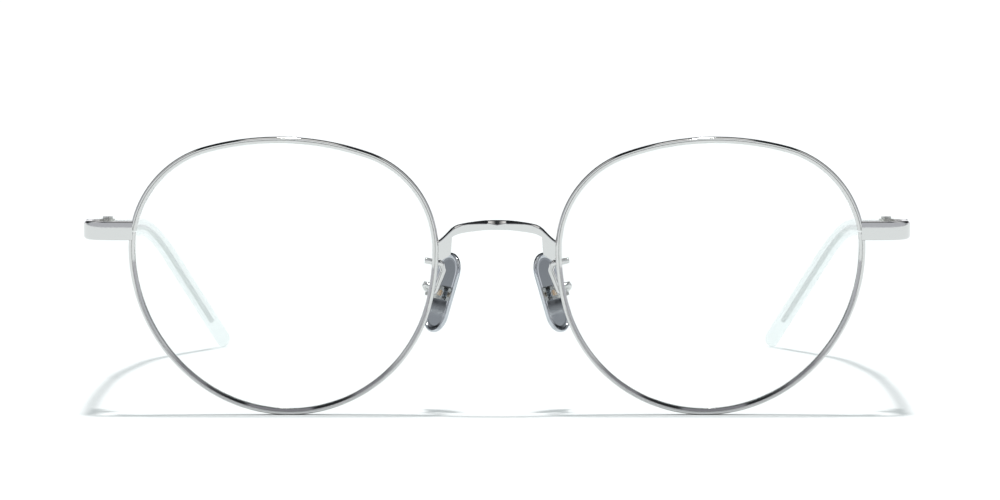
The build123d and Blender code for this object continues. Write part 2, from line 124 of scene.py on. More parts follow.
class FrontSizes(bpy.types.PropertyGroup):
    """Sizes of the rims, lenses, bridge and end pieces."""

    apex_shift: size(
        "Apex shift", "How far the rim's top lies to the temple and its bottom to the nose", 0.9
    )
    temple_rise: size("Temple side rise", "Widest point above the middle, temple side", 4.75)
    nose_rise: size("Nose side rise", "Widest point above the middle, nose side", 4.5)
    top_radius: size("Top radius", "Radius of the rim's top", 46.3)
    bottom_temple_radius: size(
        "Bottom radius, temple", "Radius of the rim's bottom, temple side", 25.4
    )
    bottom_nose_radius: size(
        "Bottom radius, nose", "Radius of the rim's bottom, nose side", 24.5
    )
    rim_wall: size("Rim wall", "Width of the rim wire seen from the front", 1.05)
    kerf: size("Kerf", "The cut that lets the rim open", 0.3)
    lens_thickness: size("Lens thickness", "Thickness of the lens at its middle", 1.5)
    lens_curve: size("Lens curve", "Radius of the lens's front surface", 265.0)
    bridge_thickness: size("Bridge thickness", "Bridge bar, front to back", 1.5)
    foot_thickness: size("Foot thickness", "Bridge foot, front to back", 0.9)
    end_wall: size("End piece wall", "Thickness of the end piece's flat stock", 1.4)
    end_edge: size("End piece edge", "Radius of the end piece's long edges in front", 0.24)
    end_side_edge: size("End piece side edge", "Radius of the same edges at the side", 0.6)
    end_bend: size("End piece bend", "Outer radius of the end piece's bend", 4.2)


class PadSizes(bpy.types.PropertyGroup):
    """Sizes of the nose pads, their boxes and arms."""

    lean: bpy.props.FloatProperty(
        name="Pad lean",
        description="Lean that brings the pads' tops closer together than their bottoms",
        default=math.radians(16),
        unit="ROTATION",
        subtype="ANGLE",
    )
    length: size("Pad length", "Length of a nose pad", 13.8)
    width: size("Pad width", "Width of a nose pad", 6.8)
    thickness: size("Pad thickness", "Thickness of a nose pad at its lip", 0.8)
    lip: size("Pad lip", "Width of the raised lip on the arm side", 0.6)
    recess: size("Pad recess", "Depth of the dish inside the lip", 0.25)
    pivot_height: size("Pivot height", "Cross screw above the pad's middle plane", 1.25)
    lug_width: size("Lug width", "Width of the pad's lug between the box walls", 0.9)
    lug_radius: size("Lug radius", "Radius of the lug round the cross screw", 0.65)
    box_roof: size("Box roof", "Where the arm ends, above the cross screw", 1.1)
    arm_radius: size("Arm radius", "Radius of the pad arm's wire", 0.5)
    arm_bend: size("Arm bend", "Radius of the wire's bends", 0.7)


class TempleSizes(bpy.types.PropertyGroup):
    """Sizes of the temples and their tips."""

    bar_thickness: size("Bar thickness", "Thickness of the temple bar at the hinge", 1.2)
    bar_height: size("Bar height", "Height of the temple bar at the hinge", 3.1)
    bar_end_height: size("Bar end height", "Height of the temple bar where the tip starts", 1.5)
    bar_edge: size("Bar edge", "Radius of the temple bar's long edges", 0.25)
    core_radius: size("Core radius", "Radius of the wire core in the tip", 0.5)
    tip_front_width: size("Tip front width", "Width of the tip where it starts", 2.3)
    tip_front_height: size("Tip front height", "Height of the tip where it starts", 3.0)
    tip_end_width: size("Tip end width", "Width of the tip near its end", 2.4)
    tip_end_height: size("Tip end height", "Height of the tip near its end", 3.38)


class Finishes(bpy.types.PropertyGroup):
    """Colours of the metals, plastics and floor."""

    plated: colour("Plated metal", "Rhodium-plated nickel silver", "#D3D3D2")
    tumbled: colour("Tumbled metal", "Hinge and block nickel silver", "#C6C6C2")
    pad: colour("Pad metal", "Polished titanium of the pads", "#C2C6CB")
    brass: colour("Brass", "Turned brass of the pad screws", "#D9C9B6")
    steel: colour("Steel", "Turned steel of the other screws", "#B9B9B7")
    lens: colour("Lens", "Clear resin of the lenses", "#F2FAFA")
    acetate: colour("Acetate", "Clear cellulose acetate of the tips", "#DCEBEA")
    paper: colour("Paper", "White floor", "#FBFBFB")


# ---- Materials ----
def add_node(tree, kind, values=None, links=None, **settings):
    """Add a node, set its properties and input values and link its inputs."""
    made = tree.nodes.new(kind)
    for name, value in settings.items():
        setattr(made, name, value)
    for name, value in (values or {}).items():
        made.inputs[name].default_value = value
    for name, socket in (links or {}).items():
        tree.links.new(socket, made.inputs[name])
    return made


def new_material(name, rgb, **shader_values):
    """A material with a Principled shader of one base colour."""
    material = bpy.data.materials.new(name)
    material.use_nodes = True
    shader = material.node_tree.nodes["Principled BSDF"]
    shader.inputs["Base Color"].default_value = (*rgb, 1)
    for key, value in shader_values.items():
        shader.inputs[key.replace("_", " ")].default_value = value
    return material


def grain(material, spacing, roughness, height, stretch=(1.0, 1.0, 1.0)):
    """Give a material an uneven polish: a noise that varies roughness and lifts the surface.

    spacing and height are in metres, roughness is its lowest and highest value, and stretch
    scales the noise along X, Y and Z."""
    tree = material.node_tree
    shader = tree.nodes["Principled BSDF"]
    coords = add_node(tree, "ShaderNodeTexCoord")
    stretched = add_node(
        tree, "ShaderNodeMapping", {"Scale": stretch}, {"Vector": coords.outputs["Object"]}
    )
    noise = add_node(
        tree,
        "ShaderNodeTexNoise",
        {"Scale": 1 / spacing, "Detail": 4.0, "Roughness": 0.6},
        {"Vector": stretched.outputs["Vector"]},
    )
    gloss = add_node(
        tree,
        "ShaderNodeMapRange",
        {"From Min": 0.3, "From Max": 0.7, "To Min": roughness[0], "To Max": roughness[1]},
        {"Value": noise.outputs["Fac"]},
    )
    bump = add_node(
        tree,
        "ShaderNodeBump",
        {"Strength": 0.4, "Distance": height},
        {"Height": noise.outputs["Fac"]},
    )
    tree.links.new(gloss.outputs["Result"], shader.inputs["Roughness"])
    tree.links.new(bump.outputs["Normal"], shader.inputs["Normal"])


def plated_metal(rgb):
    """Nickel silver, drawn, buffed and rhodium-plated: a bright, slightly uneven mirror."""
    material = new_material("rhodium_plated_nickel_silver", rgb, Metallic=1.0)
    grain(material, 0.35 * MM, (0.035, 0.08), 0.0004 * MM)
    return material


def tumbled_metal(rgb):
    """Nickel silver, machined and barrel-tumbled: a soft, finely pitted satin."""
    material = new_material("tumbled_nickel_silver", rgb, Metallic=1.0)
    grain(material, 0.12 * MM, (0.2, 0.34), 0.002 * MM)
    return material


def pad_metal(rgb):
    """Titanium, stamped and mirror-polished: a darker, bluish mirror, slightly wavy."""
    material = new_material("polished_titanium", rgb, Metallic=1.0)
    grain(material, 2.5 * MM, (0.05, 0.1), 0.004 * MM)
    return material


def turned_metal(name, rgb):
    """Brass or steel, turned on a lathe: a fine grain, closest along Z, that blurs highlights."""
    material = new_material(name, rgb, Metallic=1.0)
    grain(material, 0.08 * MM, (0.18, 0.3), 0.002 * MM, stretch=(1.0, 1.0, 4.0))
    return material


def clear_resin(rgb):
    """CR-39 resin, cast, polished and anti-reflection coated: almost unseen, with a faint
    reflection that a low alpha keeps weak at every angle."""
    material = new_material(
        "coated_cr39_resin", rgb, Roughness=0.02, IOR=1.5, Alpha=0.06
    )
    grain(material, 20 * MM, (0.015, 0.03), 0.01 * MM)
    return material


def clear_acetate(rgb):
    """Cellulose acetate, cut from sheet, bent and tumble-polished: clear with a faint cool tint
    and a slightly uneven gloss. A low alpha lets the core show, and light isn't bent."""
    material = new_material(
        "clear_cellulose_acetate", rgb, Roughness=0.05, IOR=1.475, Alpha=0.26
    )
    grain(material, 3.0 * MM, (0.03, 0.08), 0.02 * MM)
    return material


def floor_paper(rgb):
    """Matt white background paper: an even white with a faint, fine tooth."""
    material = new_material("white_paper", rgb, Specular_IOR_Level=0.0)
    grain(material, 0.8 * MM, (0.85, 0.95), 0.01 * MM)
    return material


def finish_named(name):
    """The shared material of that name, made on first use from the user's colours."""
    finishes = bpy.context.scene.eyeglass_finishes
    makers = {
        "rhodium_plated_nickel_silver": lambda: plated_metal(finishes.plated),
        "tumbled_nickel_silver": lambda: tumbled_metal(finishes.tumbled),
        "polished_titanium": lambda: pad_metal(finishes.pad),
        "turned_brass": lambda: turned_metal("turned_brass", finishes.brass),
        "turned_steel": lambda: turned_metal("turned_steel", finishes.steel),
        "coated_cr39_resin": lambda: clear_resin(finishes.lens),
        "clear_cellulose_acetate": lambda: clear_acetate(finishes.acetate),
        "white_paper": lambda: floor_paper(finishes.paper),
    }
    return bpy.data.materials.get(name) or makers[name]()


# ---- Mesh tools ----
OVAL_SIDES = 32
WIRE_SIDES = 20
CORNER_STEPS = 6
END_STEPS = 32
SIDE_STEPS = 8


def mirrored(point, side):
    """A point of the wearer's left half, on the left (side 1) or the right (side -1)."""
    return Vector((point[0] * side, point[1], point[2]))


def skin(name, rings):
    """A mesh through rings of equally many points, closed round each ring and at its two ends."""
    mesh = bpy.data.meshes.new(name)
    build = bmesh.new()
    layers = [[build.verts.new(point) for point in ring] for ring in rings]
    count = len(rings[0])
    for first, second in zip(layers, layers[1:]):
        for place in range(count):
            after = (place + 1) % count
            build.faces.new((first[place], first[after], second[after], second[place]))
    build.faces.new(layers[0])
    build.faces.new(layers[-1])
    bmesh.ops.recalc_face_normals(build, faces=build.faces)
    build.to_mesh(mesh)
    build.free()
    return mesh


def place_piece(mesh, body, nodes, finish, crease=50):
    """Put a finished mesh in the scene: shade it, ride it and let it stand for CAD nodes.

    Edges that turn by more than crease degrees stay sharp."""
    mesh.shade_smooth()
    mesh.set_sharp_from_angle(angle=math.radians(crease))
    piece = bpy.data.objects.new(mesh.name, mesh)
    bpy.context.scene.collection.objects.link(piece)
    mesh.materials.append(finish_named(finish))
    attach(piece, body)
    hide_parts(*nodes)
    return piece


def soften(piece, width):
    """Round a hard-edged piece's edges, as buffing does."""
    bevel = piece.modifiers.new("buffed_edges", "BEVEL")
    bevel.width = width
    bevel.segments = 3
    bevel.limit_method = "ANGLE"
    bevel.angle_limit = math.radians(30)
    bevel.harden_normals = True


def refinish(node, finish):
    """Give a CAD node that stays in view one of the shared materials."""
    materials = frame["nodes"][node].data.materials
    materials.clear()
    materials.append(finish_named(finish))


def filleted(corners, radii, turn_step=math.radians(6)):
    """Points along straight runs joined by arcs, one radius for each inner corner."""
    points = [corners[0]]
    for before, corner, after, radius in zip(corners, corners[1:], corners[2:], radii):
        inward = (before - corner).normalized()
        outward = (after - corner).normalized()
        turn = math.pi - inward.angle(outward)
        back_off = radius * math.tan(turn / 2)
        centre = corner + (inward + outward).normalized() * (radius / math.cos(turn / 2))
        spoke = corner + inward * back_off - centre
        axis = spoke.cross(outward)
        steps = max(2, math.ceil(turn / turn_step))
        for step in range(steps + 1):
            points.append(centre + Matrix.Rotation(turn * step / steps, 3, axis) @ spoke)
    points.append(corners[-1])
    return points


def spread(points, spacing):
    """The same line with extra points, so that no run is longer than spacing."""
    dense = [points[0]]
    for start, stop in zip(points, points[1:]):
        steps = max(1, math.ceil((stop - start).length / spacing))
        dense.extend(start.lerp(stop, step / steps) for step in range(1, steps + 1))
    return dense


def headings(points):
    """The direction of a line at each of its points."""
    ahead = points[1:] + points[-1:]
    behind = points[:1] + points[:-1]
    return [(b - a).normalized() for a, b in zip(behind, ahead)]


def oval(centre, across, upright, width, height, count=OVAL_SIDES):
    """A ring of count points round an ellipse."""
    ring = []
    for step in range(count):
        turn = 2 * math.pi * step / count
        x = math.cos(turn) * width / 2
        z = math.sin(turn) * height / 2
        ring.append(centre + across * x + upright * z)
    return ring


def soft_box(centre, across, upright, width, height, corner):
    """A ring round a rectangle with rounded corners; with full corners it is a circle."""
    ring = []
    for quarter, (x_sign, z_sign) in enumerate(((1, 1), (-1, 1), (-1, -1), (1, -1))):
        x = x_sign * (width / 2 - corner)
        z = z_sign * (height / 2 - corner)
        for step in range(CORNER_STEPS + 1):
            turn = math.radians(90 * quarter + 90 * step / CORNER_STEPS)
            ring.append(
                centre
                + across * (x + corner * math.cos(turn))
                + upright * (z + corner * math.sin(turn))
            )
    return ring


def stadium(centre, across, upright, width, length, inset):
    """A ring round a slot with half-round ends, drawn inset from its outline."""
    radius = width / 2 - inset
    straight = (length - width) / 2
    ring = []
    for end, turn_start in ((1, 0), (-1, 180)):
        middle = centre + upright * straight * end
        for step in range(END_STEPS + 1):
            turn = math.radians(turn_start + step * 180 / END_STEPS)
            ring.append(middle + (across * math.cos(turn) + upright * math.sin(turn)) * radius)
        for step in range(1, SIDE_STEPS):
            along = 1 - 2 * step / SIDE_STEPS
            ring.append(centre - across * radius * end + upright * straight * end * along)
    return ring


def upright_rings(points, ring_at):
    """Rings along a line, kept level; ring_at makes the ring at a point and its axes."""
    rings = []
    for place, (point, heading) in enumerate(zip(points, headings(points))):
        across = heading.cross(Vector((0, 0, 1))).normalized()
        share = place / (len(points) - 1)
        rings.append(ring_at(share, point, across, across.cross(heading)))
    return rings


def tube_rings(points, radius):
    """Rings of a round wire, carried along its line without twist."""
    across = Vector((0, 0, 1))
    rings = []
    for point, heading in zip(points, headings(points)):
        across = (across - heading * across.dot(heading)).normalized()
        rings.append(
            oval(point, across, heading.cross(across), 2 * radius, 2 * radius, WIRE_SIDES)
        )
    return rings


def quarter_arcs(apex, side, apex_radius):
    """Centre, radius and meeting angle of the two arcs from a top or bottom to a widest point."""
    across, rise = side[0] - apex[0], apex[1] - side[1]
    dx, dy = abs(across), abs(rise)
    side_radius = (2 * apex_radius * dy - dy**2 - dx**2) / (2 * (apex_radius - dx))
    apex_centre = Vector((apex[0], apex[1] - math.copysign(apex_radius, rise)))
    side_centre = Vector((side[0] - math.copysign(side_radius, across), side[1]))
    meeting = (side_centre - apex_centre) * math.copysign(1, apex_radius - side_radius)
    angle = math.degrees(math.atan2(meeting.y, meeting.x)) % 360
    return (apex_centre, apex_radius), (side_centre, side_radius), angle


def rim_arcs():
    """The rim outline's eight arcs, as (last angle, centre, radius), by outward angle."""
    front = bpy.context.scene.eyeglass_front
    half_width = (rim_high.x - rim_low.x) / 2
    half_height = (rim_high.z - rim_low.z) / 2
    top = (front.apex_shift, half_height)
    bottom = (-front.apex_shift, -half_height)
    temple_side = (half_width, front.temple_rise)
    nose_side = (-half_width, front.nose_rise)
    upper_temple = quarter_arcs(top, temple_side, front.top_radius)
    upper_nose = quarter_arcs(top, nose_side, front.top_radius)
    lower_nose = quarter_arcs(bottom, nose_side, front.bottom_nose_radius)
    lower_temple = quarter_arcs(bottom, temple_side, front.bottom_temple_radius)
    return [
        (upper_temple[2], *upper_temple[1]),
        (90, *upper_temple[0]),
        (upper_nose[2], *upper_nose[0]),
        (180, *upper_nose[1]),
        (lower_nose[2], *lower_nose[1]),
        (270, *lower_nose[0]),
        (lower_temple[2], *lower_temple[0]),
        (360, *lower_temple[1]),
    ]


def rim_point(arcs, angle, growth, depth):
    """A point of the left rim's outline where it faces an angle, grown outwards, at a depth."""
    angle = angle % 360
    centre, radius = next((c, r) for last, c, r in arcs if angle <= last)
    reach = radius + growth
    turn = math.radians(angle)
    return RIM_CENTRE + Vector(
        (centre.x + reach * math.cos(turn), depth, centre.y + reach * math.sin(turn))
    )


# ---- Pieces ----
# Section of the rim wire in millimetres: growth from the outer face, and depth. It runs from
# the outer face round the back, through the lens groove, and over the fine line on the front.
RIM_SECTION = (
    (0, 0.62), (0, 1.6), (-0.1, 1.83), (-0.3, 1.9), (-0.85, 1.9), (-1.02, 1.8), (-1.05, 1.62),
    (-1.05, 1.5), (-0.55, 0.95), (-1.05, 0.4), (-1.04, 0.33), (-0.98, 0.22), (-0.64, 0.04),
    (-0.56, 0.13), (-0.48, 0.02), (-0.34, 0), (-0.2, 0.06), (-0.11, 0.17), (-0.04, 0.36),
)
RIM_STATIONS = 240
LENS_SPOKES = 144
# The lens's edge clears the wire, and its bevel rises and falls by the same amount.
LENS_PLAY = 0.03 * MM
BEVEL = 0.5 * MM
# Rings of the lens's faces, as shares of the way from its middle to its edge.
LENS_SHARES = (0.001, 0.12, 0.25, 0.4, 0.55, 0.7, 0.82, 0.91, 0.97, 1)


class EYEGLASS_OT_rims(bpy.types.Operator):
    """Draw both rims: grooved wire bent to the lens and cut behind the end piece"""

    bl_idname = "eyeglass.rims"
    bl_label = "Rims"

    def execute(self, context):
        front = context.scene.eyeglass_front
        arcs = rim_arcs()
        _, centre, radius = arcs[0]
        cut_z = (end_low.z + end_high.z) / 2 - RIM_CENTRE.z
        start, stop = (
            math.degrees(math.asin((cut_z + half - centre.y) / radius))
            for half in (front.kerf / 2, -front.kerf / 2)
        )
        sweep = 360 + stop - start
        for side_name, side in SIDES:
            rings = []
            for step in range(RIM_STATIONS + 1):
                angle = start + sweep * step / RIM_STATIONS
                rings.append(
                    [
                        mirrored(rim_point(arcs, angle, growth * MM, depth * MM), side)
                        for growth, depth in RIM_SECTION
                    ]
                )
            mesh = skin(f"rim_wire_{side_name}", rings)
            place_piece(
                mesh, "front", [f"rim_{side_name}"], "rhodium_plated_nickel_silver", 28
            )
        return {"FINISHED"}


class EYEGLASS_OT_lenses(bpy.types.Operator):
    """Cut both lenses: a shallow meniscus with a bevel in the rim's groove"""

    bl_idname = "eyeglass.lenses"
    bl_label = "Lenses"

    def execute(self, context):
        front = context.scene.eyeglass_front
        arcs = rim_arcs()
        edge_growth = -front.rim_wall - LENS_PLAY
        crest_growth = edge_growth + BEVEL
        groove_depth = (rim_high.y - rim_low.y) / 2
        apex = lens_low.y - FRONT_Y
        angles = [step * 360 / LENS_SPOKES for step in range(LENS_SPOKES)]

        def face_ring(share, side, radius, apex_depth):
            ring = []
            for angle in angles:
                rim = rim_point(arcs, angle, edge_growth, 0)
                spoke = (rim - RIM_CENTRE) * share
                sag = radius - math.sqrt(radius**2 - spoke.length_squared)
                ring.append(mirrored(RIM_CENTRE + spoke + Vector((0, apex_depth + sag, 0)), side))
            return ring

        for side_name, side in SIDES:
            rings = [face_ring(share, side, front.lens_curve, apex) for share in LENS_SHARES]
            for growth, shift in ((edge_growth, -BEVEL), (crest_growth, 0), (edge_growth, BEVEL)):
                depth = groove_depth + shift
                rings.append(
                    [mirrored(rim_point(arcs, angle, growth, depth), side) for angle in angles]
                )
            inner = front.lens_curve - front.lens_thickness
            rings += [
                face_ring(share, side, inner, apex + front.lens_thickness)
                for share in reversed(LENS_SHARES)
            ]
            mesh = skin(f"lens_blank_{side_name}", rings)
            place_piece(
                mesh, "front", [f"lens_{side_name}"], "coated_cr39_resin", 25
            )
        return {"FINISHED"}


# The bridge's half outline in millimetres from the middle to the rim: the top edge's X and Z,
# the bottom edge's X and Z, how far the filed facet comes down the front, and its depth for
# each millimetre of height.
BRIDGE_STATIONS = (
    (0.0, 32.58, 0.0, 31.0, 0.72, 1.0),
    (0.8, 32.58, 0.75, 30.99, 0.55, 1.0),
    (1.5, 32.55, 1.4, 30.98, 0.4, 1.0),
    (1.75, 32.54, 1.65, 30.97, 0.46, 2.3),
    (2.6, 32.47, 2.4, 30.92, 0.42, 2.3),
    (3.6, 32.36, 3.3, 30.82, 0.32, 2.3),
    (4.8, 32.19, 4.35, 30.68, 0.22, 2.3),
    (5.8, 32.0, 5.3, 30.53, 0.2, 1.6),
    (6.5, 31.82, 6.0, 30.38, 0.32, 1.1),
    (7.1, 31.55, 6.6, 30.2, 0.36, 1.0),
    (7.65, 31.15, 7.05, 30.0, 0.32, 1.4),
    (8.15, 30.62, 7.5, 29.72, 0.26, 2.0),
    (8.8, 29.95, 8.2, 29.33, 0.24, 2.0),
    (9.4, 29.4, 8.9, 28.85, 0.24, 2.0),
    (10.0, 28.95, 9.7, 28.35, 0.24, 2.0),
)
# The rounded edges above and below the facet, in millimetres: height seen and depth.
CREST_EDGE = (0.13, 0.34)
FACET_EDGE = (0.12, 0.05)
FOOT_OUTLINE = ((7.45, 30.0), (7.7, 26.7), (9.3, 25.72), (9.95, 26.3), (9.95, 28.9), (8.6, 29.6))
FOOT_SETBACK = 0.5 * MM
BRIDGE_END_SETBACK = 0.1 * MM


class EYEGLASS_OT_bridge(bpy.types.Operator):
    """Forge the bridge: an arched, bowed bar with a filed crest and a flat foot at each rim"""

    bl_idname = "eyeglass.bridge"
    bl_label = "Bridge"

    def execute(self, context):
        front = context.scene.eyeglass_front
        bow = FRONT_Y - bridge_low.y
        reach = bridge_high.x
        half = BRIDGE_STATIONS[1:]
        stations = [(station, -1) for station in reversed(half)]
        stations += [(station, 1) for station in BRIDGE_STATIONS]
        rings = []
        for (top_x, top_z, low_x, low_z, facet_down, facet_slope), side in stations:
            bend = (top_x * MM / reach) ** 2
            face = FRONT_Y - bow * (1 - bend) + BRIDGE_END_SETBACK * bend
            top = Vector((top_x, 0, top_z)) * MM
            low = Vector((low_x, 0, low_z)) * MM
            down = (low - top).normalized()
            facet_depth = FACET_EDGE[1] + (facet_down - CREST_EDGE[0]) * facet_slope
            profile = (
                (low, 0),
                (top + down * (facet_down + FACET_EDGE[0]) * MM, 0),
                (top + down * facet_down * MM, FACET_EDGE[1] * MM),
                (top + down * CREST_EDGE[0] * MM, facet_depth * MM),
                (top, (facet_depth + CREST_EDGE[1]) * MM),
                (top, front.bridge_thickness),
                (low, front.bridge_thickness),
            )
            rings.append(
                [mirrored((point.x, face + depth, point.z), side) for point, depth in profile]
            )
        place_piece(
            skin("bridge_bar", rings), "front", ["bridge"],
            "rhodium_plated_nickel_silver", 12,
        )
        for side_name, side in SIDES:
            rings = [
                [
                    mirrored((x * MM, FRONT_Y + FOOT_SETBACK + depth, z * MM), side)
                    for x, z in FOOT_OUTLINE
                ]
                for depth in (0, front.foot_thickness)
            ]
            foot = place_piece(
                skin(f"bridge_foot_{side_name}", rings), "front", ["bridge"],
                "rhodium_plated_nickel_silver", 20,
            )
            soften(foot, 0.12 * MM)
        return {"FINISHED"}


# How far the end piece's outer corner lies behind its inner end, and where along the bar, as
# shares of its length, the fuller edges of the side start and over how much they grow.
END_SWEEP = 0.65 * MM
SIDE_EDGE_START = 0.4
SIDE_EDGE_GROWTH = 0.25


class EYEGLASS_OT_end_pieces(bpy.types.Operator):
    """Bend both end pieces: flat bar over the rim's split, turned back to the hinge"""

    bl_idname = "eyeglass.end_pieces"
    bl_label = "End pieces"

    def execute(self, context):
        front = context.scene.eyeglass_front
        wall = front.end_wall
        middle_z = (end_low.z + end_high.z) / 2
        height = end_high.z - end_low.z
        corners = [
            Vector((end_low.x, end_low.y + wall / 2, middle_z)),
            Vector((end_high.x - wall / 2, end_low.y + END_SWEEP + wall / 2, middle_z)),
            Vector((end_high.x - wall / 2, end_high.y, middle_z)),
        ]
        line = spread(filleted(corners, [front.end_bend - wall / 2]), 0.5 * MM)
        for side_name, side in SIDES:
            path = [mirrored(point, side) for point in line]

            def ring_at(share, point, across, up):
                turned = min(1, max(0, (share - SIDE_EDGE_START) / SIDE_EDGE_GROWTH))
                corner = front.end_edge + (front.end_side_edge - front.end_edge) * turned
                return soft_box(point, across, up, wall, height, corner)

            rings = upright_rings(path, ring_at)
            place_piece(
                skin(f"end_bar_{side_name}", rings), "front", [f"end_piece_{side_name}"],
                "rhodium_plated_nickel_silver",
            )
        return {"FINISHED"}


HARDWARE_FINISHES = {
    "front_hinge_leaf": "tumbled_nickel_silver",
    "temple_hinge_leaf": "tumbled_nickel_silver",
    "rim_lock_upper": "tumbled_nickel_silver",
    "rim_lock_lower": "tumbled_nickel_silver",
    "pad_box": "tumbled_nickel_silver",
    "rim_lock_screw": "turned_steel",
    "hinge_screw": "turned_steel",
    "hinge_washers": "turned_brass",
    "pad_screw": "turned_brass",
}


class EYEGLASS_OT_hardware(bpy.types.Operator):
    """Finish the hinges, closing blocks, pad boxes and screws, whose shapes come from the frame"""

    bl_idname = "eyeglass.hardware"
    bl_label = "Hinges and screws"

    def execute(self, context):
        for side_name, _ in SIDES:
            for node, finish in HARDWARE_FINISHES.items():
                refinish(f"{node}_{side_name}", finish)
        return {"FINISHED"}


# Corners of the pad arm's wire in millimetres: X, depth behind the rims' front faces, and Z.
ARM_CORNERS = (
    (11.9, 2.3, 25.68), (9.3, 2.3, 25.2), (8.95, 3.6, 24.0), (10.4, 4.4, 20.3),
    (12.05, 4.9, 19.9), (12.1, 5.9, 24.0),
)


# The domed end of that wire, nearest first: how far ahead in radii, and its share of the width.
ARM_DOME = ((0.2, 0.92), (0.3, 0.75))
ARM_SPACING = 0.3 * MM
LUG_STEPS = 16
# Rings of the pad in millimetres: insets over the floor of the dish, and inset and height above
# the middle plane round the edge and over the nose side.
DISH_INSETS = (3.38, 3.0, 2.4, 1.8, 1.2)
NOSE_SIDE = (
    (0, 0.0), (0.03, -0.14), (0.12, -0.27), (0.25, -0.36), (0.5, -0.4), (1.2, -0.4),
    (1.8, -0.4), (2.4, -0.4), (3.0, -0.4), (3.38, -0.4),
)


class EYEGLASS_OT_pads(bpy.types.Operator):
    """Make both nose pads with their lugs, and the wire arms that carry them"""

    bl_idname = "eyeglass.pads"
    bl_label = "Nose pads and arms"

    def execute(self, context):
        sizes = context.scene.eyeglass_pads
        forward = PAD_AXIS.normalized()
        up = Vector((-math.sin(sizes.lean), 0, math.cos(sizes.lean)))
        outward = up.cross(forward)
        for side_name, side in SIDES:
            self.make_pad(sizes, side_name, side, forward, up, outward)
            self.make_lug(sizes, side_name, side, forward, up, outward)
            self.make_arm(sizes, side_name, side, outward)
        return {"FINISHED"}

    def make_pad(self, sizes, side_name, side, forward, up, outward):
        """The dished plate: stadium rings from the middle of the dish round to the nose side."""
        centre = PAD_PIVOT - outward * sizes.pivot_height
        lip = sizes.lip / MM
        top = sizes.thickness / 2 / MM
        floor = (sizes.thickness / 2 - sizes.recess) / MM
        layers = [(inset, floor) for inset in (*DISH_INSETS, lip + 0.14)]
        layers += [(lip + 0.05, floor + 0.04), (lip, floor + 0.13), (lip - 0.05, top - 0.04)]
        layers += [(lip - 0.14, top), (0.2, top), (0.07, top - 0.05), (0.01, top - 0.15)]
        layers += [(0, top - 0.28), *NOSE_SIDE]
        rings = []
        for inset, height in layers:
            middle = centre + outward * height * MM
            ring = stadium(middle, forward, up, sizes.width, sizes.length, inset * MM)
            rings.append([mirrored(point, side) for point in ring])
        place_piece(
            skin(f"pad_plate_{side_name}", rings), f"{side_name}_pad", [f"nose_pad_{side_name}"],
            "polished_titanium",
        )

    def make_lug(self, sizes, side_name, side, forward, up, outward):
        """The lug that stands on the pad and holds the cross screw."""
        radius = sizes.lug_radius
        rings = []
        for shift in (-sizes.lug_width / 2, sizes.lug_width / 2):
            middle = PAD_PIVOT + forward * shift
            ring = []
            for step in range(LUG_STEPS + 1):
                turn = math.pi * step / LUG_STEPS
                ring.append(middle + (up * math.cos(turn) + outward * math.sin(turn)) * radius)
            ring.append(middle - up * radius - outward * sizes.pivot_height)
            ring.append(middle + up * radius - outward * sizes.pivot_height)
            rings.append([mirrored(point, side) for point in ring])
        lug = place_piece(
            skin(f"pad_lug_{side_name}", rings), f"{side_name}_pad",
            [f"nose_pad_{side_name}"], "polished_titanium",
        )
        soften(lug, 0.08 * MM)

    def make_arm(self, sizes, side_name, side, outward):
        """The wire from the rim's back round its loop to the roof of the pad's box."""
        corners = [Vector((x * MM, FRONT_Y + depth * MM, z * MM)) for x, depth, z in ARM_CORNERS]
        corners.append(PAD_PIVOT + outward * sizes.box_roof)
        line = filleted(corners, [sizes.arm_bend] * (len(corners) - 2), math.radians(9))
        path = [mirrored(point, side) for point in spread(line, ARM_SPACING)]
        rings = tube_rings(path, sizes.arm_radius)
        first = rings[0]
        opening = (path[0] - path[1]).normalized()
        for ahead, shrink in ARM_DOME:
            lift = opening * ahead * sizes.arm_radius
            rings.insert(0, [path[0] + (point - path[0]) * shrink + lift for point in first])
        mesh = skin(f"pad_wire_{side_name}", rings)
        place_piece(
            mesh, "front", [f"pad_arm_{side_name}"],
            "rhodium_plated_nickel_silver",
        )


# The temple bows out until BOW_DEPTH behind the rims' front faces, then runs nearly straight to
# the corner of its bend, BEND, given as X and depth. TIP_END is X, depth and Z.
BOW_DEPTH = 55.0 * MM
BOW_OUT = 1.45 * MM
BOW_STEPS = 24
STRAIGHT_RUN = 19 * MM
STRAIGHT_DRIFT = 0.1 * MM
SLOPE = math.radians(3.3)
BEND = (66.1 * MM, 104.5 * MM)
BEND_RADII = (160 * MM, 25 * MM)
TIP_END = (54.3 * MM, 129.33 * MM, 1.65 * MM)
TIP_START_DEPTH = 66.0 * MM
HINGE_GAP = 0.1 * MM
LINE_SPACING = 1.5 * MM
# The bar tapers over BAR_RUN and is drawn down to its core over DRAW_RUN.
BAR_RUN = 60.0 * MM
DRAW_RUN = 6.0 * MM
CORE_END_Z = 5.35 * MM
# The tip's rounded end, its turns in degrees, and its rounded mouth, as how far ahead and its
# share of the width.
TIP_DOME = 1.6 * MM
TIP_DOME_TURNS = (20, 38, 54, 68, 80, 88)
TIP_MOUTH = ((0.15 * MM, 0.97), (0.25 * MM, 0.9))


